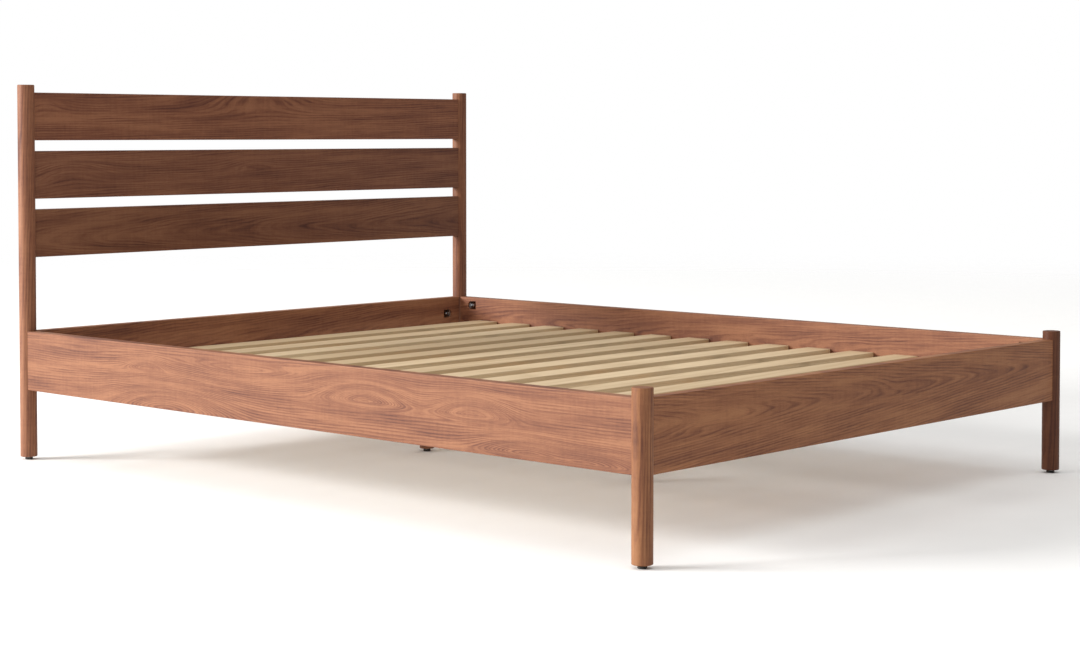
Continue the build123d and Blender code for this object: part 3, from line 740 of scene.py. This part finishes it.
class BEDFRAME_OT_webbing(Operator):
    """Makes the ribbed tapes that hang a little between the slats, and the staples that hold them."""

    bl_idname = "bedframe.webbing"
    bl_label = "Webbing and staples"

    def execute(self, context):
        sizes = context.scene.bed_webbing
        tape = woven_tape()
        points = []
        for side in ("left", "right"):
            node = f"slat_webbing_{side}"
            piece = new_object(f"webbing_tape_{side}", self.tape_mesh(node))
            piece.data.materials.append(tape)
            place(piece, "bed", "webbing", node)
            low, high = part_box(node)
            for slat in SLATS:
                first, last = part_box(slat)
                for share in STAPLES:
                    y = first.y + (last.y - first.y) * share
                    points.append(((low.x + high.x) / 2, y, low.z - sizes.wire / 2))
        mesh = bpy.data.meshes.new("webbing_staples")
        mesh.from_pydata(points, [], [])
        staples = new_object("webbing_staples", mesh)
        values = {"Crown": sizes.crown, "Leg": sizes.leg, "Wire": sizes.wire, "Material": zinc_steel()}
        grow(staples, staple_tree(), **values)
        place(staples, "bed", "zinc_steel")
        return {"FINISHED"}

    def tape_mesh(self, node):
        """A closed strip with ribs along it, flat under each slat and a little lower between them."""
        sizes = bpy.context.scene.bed_webbing
        low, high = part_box(node)
        rows = []
        edges = [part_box(slat) for slat in SLATS]
        for (first, last), after in zip(edges, [*edges[1:], None]):
            rows += [(first.y + (last.y - first.y) * i / 4, 0.0) for i in range(5)]
            if after:
                gap = after[0].y - last.y
                rows += [(last.y + gap * i / 10, math.sin(math.pi * i / 10) ** 2) for i in range(1, 10)]
        rows[0], rows[-1] = (low.y, 0.0), (high.y, 0.0)
        steps = sizes.ribs * 4
        thickness = high.z - low.z
        section = []
        for i in range(steps + 1):
            share = i / steps
            rib = abs(math.sin(math.pi * share * sizes.ribs))
            section.append((low.x + (high.x - low.x) * share, thickness * (RIB - RIB * rib)))
        # the ribs of the side against the slats are a third as deep
        section += [(x, thickness - z / 3) for x, z in reversed(section)]
        made = bmesh.new()
        loops = []
        for y, drop in rows:
            loops.append([made.verts.new((x, y, low.z + z - drop * sizes.sag)) for x, z in section])
        count = len(section)
        for one, two in zip(loops, loops[1:]):
            for i in range(count):
                j = (i + 1) % count
                made.faces.new((one[i], one[j], two[j], two[i]))
        made.faces.new(loops[0])
        made.faces.new(list(reversed(loops[-1])))
        bmesh.ops.recalc_face_normals(made, faces=made.faces[:])
        for face in made.faces:
            face.smooth = True
        mesh = bpy.data.meshes.new(node + "_woven")
        made.to_mesh(mesh)
        made.free()
        return mesh


# ---- studio


class BedStudio(PropertyGroup):
    """Camera, lights and floor."""

    camera_place: FloatVectorProperty(
        name="Camera", description="Where it stands", subtype="XYZ", size=3, default=(-4.0493, -3.7356, 0.8626)
    )
    camera_turn: FloatProperty(
        name="Turn", description="Turn of the view from +Y", subtype="ANGLE", default=math.radians(-47.591)
    )
    camera_tilt: FloatProperty(
        name="Tilt", description="Downward tilt of the view", subtype="ANGLE", default=math.radians(2.156)
    )
    lens: FloatProperty(name="Lens", description="On a frame 36 mm wide", unit="CAMERA", default=71.2)
    shift: FloatProperty(name="Shift", description="Vertical lens shift", default=-0.1065)
    key: FloatProperty(name="Key light", description="Power of the soft key", unit="POWER", default=3050.0)
    top: FloatProperty(name="Ceiling light", description="Strength of the light from above", default=0.7)
    sky: FloatProperty(name="Room", description="Strength of the white room's own light", default=0.5)


FLOOR_REACH = 40.0  # metres from the bed to the floor's hidden edge
FADE_START, FADE_END = 4.0, 10.0  # metres from the bed


class BEDFRAME_OT_studio(Operator):
    """Lays the pale floor, lights the room softly and sets the camera."""

    bl_idname = "bedframe.studio"
    bl_label = "Studio"

    def execute(self, context):
        sizes = context.scene.bed_studio
        scene = context.scene
        scene.view_settings.view_transform = "Standard"
        mesh = bpy.data.meshes.new("studio_floor")
        corners = [(x * FLOOR_REACH, y * FLOOR_REACH, 0) for x, y in ((-1, -1), (1, -1), (1, 1), (-1, 1))]
        mesh.from_pydata(corners, [], [(0, 1, 2, 3)])
        floor = new_object("studio_floor", mesh)
        # matt painted floor, pale with a very faint mottle from the roller
        material, tree, shader = new_material("Matt floor paint", Roughness=0.85)
        here = add(tree, "ShaderNodeTexCoord")
        mottle = add(tree, "ShaderNodeTexNoise", {"Vector": (here, "Object"), "Scale": 9.0, "Detail": 4.0})
        values = {0: mottle, FIRST: linear("#F7F6F4", 1), SECOND: linear("#F3F2F0", 1)}
        colour = add(tree, "ShaderNodeMix", values, data_type="RGBA")
        tree.links.new(colour.outputs[MIXED], shader.inputs["Base Color"])
        # far from the bed the floor fades into the white surround, so it has no edge and no horizon
        far = add(tree, "ShaderNodeVectorMath", {0: (here, "Object")}, operation="LENGTH")
        values = {0: (far, "Value"), 1: FADE_START, 2: FADE_END}
        fade = add(tree, "ShaderNodeMapRange", values, interpolation_type="SMOOTHSTEP")
        clear = add(tree, "ShaderNodeBsdfTransparent")
        both = add(tree, "ShaderNodeMixShader", {0: fade, 1: shader, 2: clear})
        tree.links.new(both.outputs[0], tree.nodes["Material Output"].inputs["Surface"])
        mesh.materials.append(material)

        scene.world = self.room(sizes)
        # the key is a large soft panel on the -X side, a little behind the bed, so -Y faces stay in shade
        where, target = (-10.6, 8.2, 4.6), (0.0, 0.0, 0.3)
        self.panel("key_panel", where, target, (6.0, 4.5), sizes.key)
        top = bpy.data.lights.new("ceiling_panel", "SUN")
        top.energy = sizes.top
        top.angle = math.radians(70)
        above = new_object("ceiling_panel", top)
        above.matrix_world = Matrix.Translation((0, 0, 4))

        camera = bpy.data.cameras.new("view_camera")
        camera.lens = sizes.lens
        camera.sensor_width = 36.0
        camera.shift_y = sizes.shift
        camera.clip_end = 200.0
        seen = new_object("view_camera", camera)
        tilt = math.pi / 2 - sizes.camera_tilt
        turned = Matrix.Rotation(sizes.camera_turn, 4, "Z") @ Matrix.Rotation(tilt, 4, "X")
        seen.matrix_world = Matrix.Translation(sizes.camera_place) @ turned
        scene.camera = seen
        return {"FINISHED"}

    def room(self, sizes):
        """A white room, seen as white, whose light falls off towards the +X side."""
        world = bpy.data.worlds.new("Soft white room")
        world.use_nodes = True
        tree = world.node_tree
        background = tree.nodes["Background"]
        background.inputs["Color"].default_value = linear("#FFFFFF", 1)
        way = add(tree, "ShaderNodeTexCoord")
        brightest = (-0.8, 0.1, 0.6)
        values = {0: (way, "Generated"), 1: brightest}
        side = add(tree, "ShaderNodeVectorMath", values, operation="DOT_PRODUCT")
        values = {0: (side, "Value"), 1: -1.0, 2: 1.0, 3: sizes.sky * 0.25, 4: sizes.sky * 1.75}
        light = add(tree, "ShaderNodeMapRange", values)
        ray = add(tree, "ShaderNodeLightPath")
        seen = add(tree, "ShaderNodeMath", {0: (ray, "Is Camera Ray"), 1: light}, operation="MAXIMUM")
        tree.links.new(seen.outputs[0], background.inputs["Strength"])
        return world

    def panel(self, name, where, target, size, power):
        light = bpy.data.lights.new(name, "AREA")
        light.shape = "RECTANGLE"
        light.size, light.size_y = size
        light.energy = power
        made = new_object(name, light)
        aim = (Vector(target) - Vector(where)).to_track_quat("-Z", "Y")
        made.matrix_world = Matrix.Translation(where) @ aim.to_matrix().to_4x4()


class BEDFRAME_PT_panel(Panel):
    """Lists the bed frame's pieces and their sizes and colours."""

    bl_idname = "BEDFRAME_PT_panel"
    bl_label = "Bed frame"
    bl_space_type = "VIEW_3D"
    bl_region_type = "UI"
    bl_category = "Bed frame"

    def draw(self, context):
        for operator, group in STEPS:
            box = self.layout.box()
            box.operator(operator)
            settings = getattr(context.scene, group)
            for name in settings.__annotations__:
                box.prop(settings, name)


STEPS = (
    ("bedframe.walnut", "bed_walnut"),
    ("bedframe.plain_wood", "bed_plain_wood"),
    ("bedframe.hardware", "bed_hardware"),
    ("bedframe.webbing", "bed_webbing"),
    ("bedframe.studio", "bed_studio"),
)
GROUPS = (BedWalnut, BedPlainWood, BedHardware, BedWebbing, BedStudio)
CLASSES = (
    *GROUPS,
    BEDFRAME_OT_walnut,
    BEDFRAME_OT_plain_wood,
    BEDFRAME_OT_hardware,
    BEDFRAME_OT_webbing,
    BEDFRAME_OT_studio,
    BEDFRAME_PT_panel,
)


def register():
    for made in CLASSES:
        bpy.utils.register_class(made)
    for (_, name), group in zip(STEPS, GROUPS):
        setattr(bpy.types.Scene, name, PointerProperty(type=group))


def unregister():
    for _, name in STEPS:
        delattr(bpy.types.Scene, name)
    for made in reversed(CLASSES):
        bpy.utils.unregister_class(made)


def main():
    register()
    for operator, _ in STEPS:
        getattr(bpy.ops.bedframe, operator.split(".")[1])()


if __name__ == "__main__":
    main()
